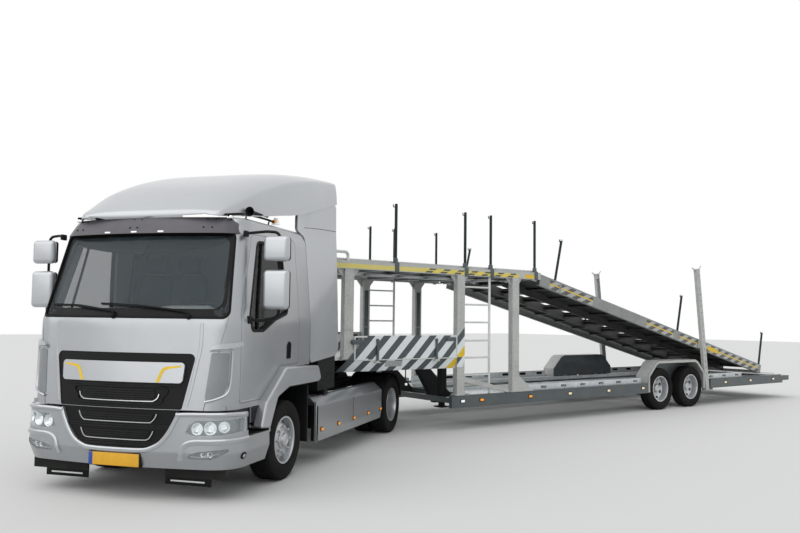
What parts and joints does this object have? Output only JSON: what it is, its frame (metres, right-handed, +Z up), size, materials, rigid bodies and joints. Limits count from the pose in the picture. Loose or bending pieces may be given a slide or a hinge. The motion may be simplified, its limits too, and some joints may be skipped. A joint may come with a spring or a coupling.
{
  "type": "car transporter truck",
  "caption": "Articulated lorry: a day-cab tractor coupled to a double-deck car transporter trailer, standing jackknifed with the rear upper deck lowered for loading.",
  "frame": {"origin": "on the ground under the middle of the whole lorry's box, as it stands parked", "axes": "+X from the trailer's tail to its nose, +Y to the trailer's left, +Z up; the tractor stands turned to the left about the kingpin"},
  "size_m": [15.7294, 4.9188, 3.29],
  "materials": {
    "black_paint": "satin black paint",
    "black_plastic": "matt black plastic",
    "cast_steel": "black oxide, rough",
    "galvanised": "dull galvanised steel",
    "glass": "clear",
    "grey_paint": "satin grey paint",
    "grey_plastic": "matt grey plastic",
    "lamp_plastic": "clear lamp glass",
    "seat_cloth": "dark woven cloth",
    "silver_paint": "satin metallic silver paint",
    "smoked_plastic": "smoked gloss plastic",
    "tyre_rubber": "matt",
    "wheel_paint": "satin silver paint",
    "white_paint": "gloss white paint"
  },
  "bodies": {
    "tractor": {"cab_shell": "silver_paint", "windscreen": "glass", "front_bumper": "silver_paint", "headlamps": "lamp_plastic", "grille": "black_plastic", "sun_visor": "smoked_plastic", "roof_fairing": "silver_paint", "side_collars": "silver_paint", "dashboard": "grey_plastic", "seats": "seat_cloth", "wheel_flares": "silver_paint", "tractor_frame": "black_paint", "tractor_springs": "cast_steel", "engine_block": "cast_steel", "front_axle": "cast_steel", "rear_axle": "cast_steel", "fifth_wheel": "cast_steel", "side_skirts": "silver_paint", "tanks": "black_paint", "tractor_mudguards": "black_plastic"},
    "trailer": {"neck_frame": "grey_paint", "neck_drop": "grey_paint", "trailer_frame": "grey_paint", "side_panels": "white_paint", "deck_posts": "white_paint", "wheel_tracks": "galvanised", "upper_deck": "galvanised", "deck_rails": "galvanised", "trailer_mudguards": "white_paint", "trailer_axles": "cast_steel", "landing_legs": "black_paint"},
    "door_left": {"door_left": "silver_paint", "door_glass_left": "glass", "mirrors_left": "black_plastic"},
    "knuckle_left": {"knuckle_left": "cast_steel"},
    "wheel_front_left": {"tyre_front_left": "tyre_rubber", "rim_front_left": "wheel_paint"},
    "wheels_rear_left": {"tyres_rear_left": "tyre_rubber", "rims_rear_left": "wheel_paint"},
    "wheel_trailer_1_left": {"tyre_trailer_1_left": "tyre_rubber", "rim_trailer_1_left": "wheel_paint"},
    "wheel_trailer_2_left": {"tyre_trailer_2_left": "tyre_rubber", "rim_trailer_2_left": "wheel_paint"},
    "door_right": {"door_right": "silver_paint", "door_glass_right": "glass", "mirrors_right": "black_plastic"},
    "knuckle_right": {"knuckle_right": "cast_steel"},
    "wheel_front_right": {"tyre_front_right": "tyre_rubber", "rim_front_right": "wheel_paint"},
    "wheels_rear_right": {"tyres_rear_right": "tyre_rubber", "rims_rear_right": "wheel_paint"},
    "wheel_trailer_1_right": {"tyre_trailer_1_right": "tyre_rubber", "rim_trailer_1_right": "wheel_paint"},
    "wheel_trailer_2_right": {"tyre_trailer_2_right": "tyre_rubber", "rim_trailer_2_right": "wheel_paint"},
    "tilting_deck": {"tilting_deck": "galvanised", "stakes_tilting": "galvanised"},
    "loading_flap": {"loading_flap": "galvanised"},
    "masts": {"masts": "white_paint"}
  },
  "joints": [
    {"name": "kingpin", "type": "hinge", "parent": "tractor", "child": "trailer", "pos_m": [3.5353, -1.19639, 0.94], "axis": [0, 0, 1], "range_deg": [-53.7, 126.3]},
    {"name": "deck_tilt", "type": "hinge", "parent": "trailer", "child": "tilting_deck", "pos_m": [0.1153, -1.19639, 2.3], "axis": [0, 1, 0], "range_deg": [0, 13.4]},
    {"name": "mast_lean", "type": "hinge", "parent": "trailer", "child": "masts", "pos_m": [-4.6547, -1.19639, 0.33], "axis": [0, 1, 0], "range_deg": [-8.2, 0]},
    {"name": "flap_hinge", "type": "hinge", "parent": "tilting_deck", "child": "loading_flap", "pos_m": [-6.86811, -1.19639, 0.5623], "axis": [0, 1, 0], "range_deg": [0, 85]},
    {"name": "door_hinge_left", "type": "hinge", "parent": "tractor", "child": "door_left", "pos_m": [6.49244, 2.28117, 1.3], "axis": [0, 0, -1], "range_deg": [0, 72]},
    {"name": "steer_left", "type": "hinge", "parent": "tractor", "child": "knuckle_left", "pos_m": [5.85801, 1.47764, 0.394], "axis": [0, 0, 1], "range_deg": [-40, 40]},
    {"name": "front_hub_left", "type": "hinge", "parent": "knuckle_left", "child": "wheel_front_left", "pos_m": [5.76329, 1.60659, 0.394], "axis": [-0.592, 0.8059, 0], "continuous": true},
    {"name": "rear_hub_left", "type": "hinge", "parent": "tractor", "child": "wheels_rear_left", "pos_m": [2.87501, -0.45799, 0.394], "axis": [-0.592, 0.8059, 0], "continuous": true},
    {"name": "trailer_hub_1_left", "type": "hinge", "parent": "trailer", "child": "wheel_trailer_1_left", "pos_m": [-3.1277, -0.06639, 0.384], "axis": [0, 1, 0], "continuous": true},
    {"name": "trailer_hub_2_left", "type": "hinge", "parent": "trailer", "child": "wheel_trailer_2_left", "pos_m": [-4.1087, -0.06639, 0.384], "axis": [0, 1, 0], "continuous": true},
    {"name": "door_hinge_right", "type": "hinge", "parent": "tractor", "child": "door_right", "pos_m": [7.73803, 0.5855, 1.3], "axis": [0, 0, 1], "range_deg": [0, 72]},
    {"name": "steer_right", "type": "hinge", "parent": "tractor", "child": "knuckle_right", "pos_m": [6.78155, 0.22039, 0.394], "axis": [0, 0, 1], "range_deg": [-40, 40]},
    {"name": "front_hub_right", "type": "hinge", "parent": "knuckle_right", "child": "wheel_front_right", "pos_m": [6.87627, 0.09144, 0.394], "axis": [-0.592, 0.8059, 0], "continuous": true},
    {"name": "rear_hub_right", "type": "hinge", "parent": "tractor", "child": "wheels_rear_right", "pos_m": [4.04246, -2.04728, 0.394], "axis": [-0.592, 0.8059, 0], "continuous": true},
    {"name": "trailer_hub_1_right", "type": "hinge", "parent": "trailer", "child": "wheel_trailer_1_right", "pos_m": [-3.1277, -2.32639, 0.384], "axis": [0, 1, 0], "continuous": true},
    {"name": "trailer_hub_2_right", "type": "hinge", "parent": "trailer", "child": "wheel_trailer_2_right", "pos_m": [-4.1087, -2.32639, 0.384], "axis": [0, 1, 0], "continuous": true}
  ],
  "couplings": [
    {"joint": "mast_lean", "follows": "deck_tilt", "ratio": -0.58},
    {"joint": "steer_right", "follows": "steer_left", "ratio": 1}
  ]
}
